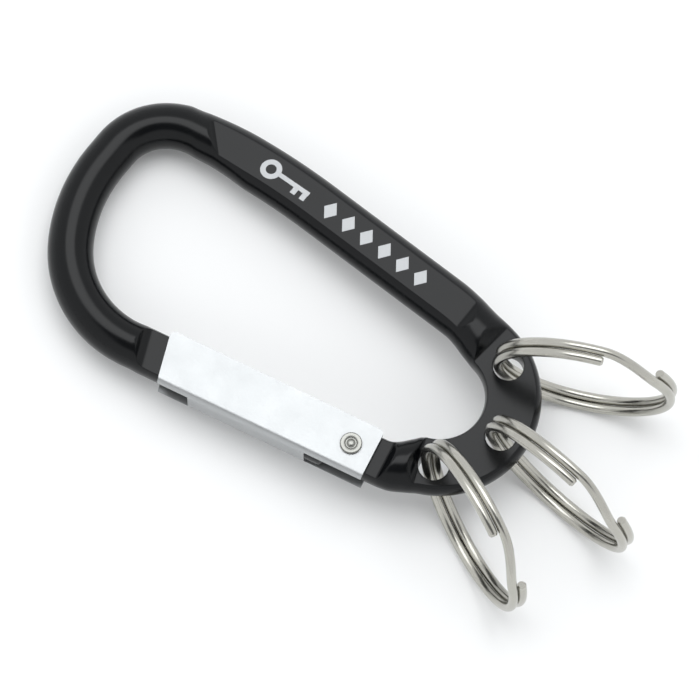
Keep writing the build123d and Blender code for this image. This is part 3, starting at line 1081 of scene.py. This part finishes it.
def studio(right, upright, back):
    """World of a light tent: an even sky, a bright panel overhead and a dim patch below it.

    A direction d falls on a patch when d . middle is positive, and d . right and d . along are
    within the patch's half-width and half-height times d . middle. Its edges are soft.
    """
    world = bpy.data.worlds.new("studio")
    world.use_nodes = True
    tree = world.node_tree
    nodes, links = tree.nodes, tree.links
    place = nodes.new("ShaderNodeTexCoord")

    def dot(axis):
        """Product of the view direction and an axis."""
        node = nodes.new("ShaderNodeVectorMath")
        node.operation = "DOT_PRODUCT"
        links.new(place.outputs["Generated"], node.inputs[0])
        node.inputs[1].default_value = [float(v) for v in axis]
        return node.outputs["Value"]

    def patch(centre, half_width, half_height, soft):
        """Mask of a soft-edged patch of sky, at an angle above the back direction."""
        middle = cos(centre) * back + sin(centre) * upright
        along = cos(centre) * upright - sin(centre) * back
        ahead = worked(tree, "MAXIMUM", dot(middle), BEHIND)
        masks = []
        for axis, half in ((right, half_width), (along, half_height)):
            away = worked(tree, "ABSOLUTE", worked(tree, "DIVIDE", dot(axis), ahead))
            fade = ranged(tree, away, half + soft, half - soft)
            fade.interpolation_type = "SMOOTHSTEP"
            masks.append(fade.outputs["Result"])
        return worked(tree, "MULTIPLY", *masks)

    bright = worked(tree, "MULTIPLY", patch(*PANEL), PANEL_LIGHT - SKY)
    dim = worked(tree, "MULTIPLY", patch(*DIM_PATCH), DIMMED)
    sky = worked(tree, "MULTIPLY", worked(tree, "ADD", SKY, bright),
                 worked(tree, "SUBTRACT", 1.0, dim))
    links.new(sky, nodes["Background"].inputs["Strength"])
    nodes["Background"].inputs["Color"].default_value = (*SKY_COLOUR, 1)
    return world


class KEYRING_OT_stage(Operator):
    """Sets the floor, the soft studio light and the camera"""

    bl_idname = "keyring.stage"
    bl_label = "Stage"

    def execute(self, context):
        scene = context.scene
        gate = scene.keyring_gate
        half = FLOOR_SIZE / 2
        floor_mesh = bpy.data.meshes.new("floor")
        corners = [(x, y, 0.0) for x, y in box(-half, half, -half, half)]
        floor_mesh.from_pydata(corners, [], [(0, 1, 2, 3)])
        paper = node_material("pale_floor", scene.keyring_finish.floor, 0.0, FLOOR_ROUGHNESS)
        floor_mesh.materials.append(paper)
        floor = bpy.data.objects.new("floor", floor_mesh)
        scene.collection.objects.link(floor)

        axes = flat_axes()
        right = np.array([cos(VIEW_TURN), -sin(VIEW_TURN), 0.0]) @ axes
        away = np.array([sin(VIEW_TURN), cos(VIEW_TURN), 0.0]) @ axes
        back = axes[2] * cos(VIEW_TILT) - away * sin(VIEW_TILT)
        upright = away * cos(VIEW_TILT) + axes[2] * sin(VIEW_TILT)
        distance = VIEW_WIDTH * CAMERA_LENS / CAMERA_SENSOR
        spot = lay(VIEW_CENTRE, gate) + back * distance
        scene.world = studio(right, upright, back)
        lens = bpy.data.cameras.new("camera")
        lens.lens = CAMERA_LENS
        lens.sensor_width = CAMERA_SENSOR
        lens.clip_start = NEAR_CLIP
        camera = bpy.data.objects.new("camera", lens)
        camera.matrix_world = Matrix(np.column_stack([right, upright, back]).tolist()).to_4x4()
        camera.location = spot
        scene.collection.objects.link(camera)
        scene.camera = camera
        scene.view_settings.view_transform = "Standard"
        return {"FINISHED"}


# --- add-on --------------------------------------------------------------------------------------

OPERATORS = (
    KEYRING_OT_hook,
    KEYRING_OT_gate,
    KEYRING_OT_rivet,
    KEYRING_OT_spring,
    KEYRING_OT_rings,
    KEYRING_OT_print,
    KEYRING_OT_stage,
)


class KEYRING_PT_panel(Panel):
    """Lists the pieces of the keyring"""

    bl_idname = "KEYRING_PT_panel"
    bl_label = "Carabiner keyring"
    bl_space_type = "VIEW_3D"
    bl_region_type = "UI"
    bl_category = "Keyring"

    def draw(self, context):
        for operator in OPERATORS:
            self.layout.operator(operator.bl_idname)
        for name in SETTINGS:
            box = self.layout.box()
            group = getattr(context.scene, name)
            for setting in group.__annotations__:
                box.prop(group, setting)


def register():
    """Registers the settings, the operators and the panel."""
    for name, group in SETTINGS.items():
        bpy.utils.register_class(group)
        setattr(bpy.types.Scene, name, PointerProperty(type=group))
    for operator in OPERATORS:
        bpy.utils.register_class(operator)
    bpy.utils.register_class(KEYRING_PT_panel)


def unregister():
    """Removes what register added."""
    bpy.utils.unregister_class(KEYRING_PT_panel)
    for operator in reversed(OPERATORS):
        bpy.utils.unregister_class(operator)
    for name, group in SETTINGS.items():
        delattr(bpy.types.Scene, name)
        bpy.utils.unregister_class(group)


def main():
    """Makes every piece and the stage."""
    register()
    bpy.ops.keyring.hook()
    bpy.ops.keyring.gate()
    bpy.ops.keyring.rivet()
    bpy.ops.keyring.spring()
    bpy.ops.keyring.rings()
    bpy.ops.keyring.print()
    bpy.ops.keyring.stage()


if __name__ == "__main__":
    main()
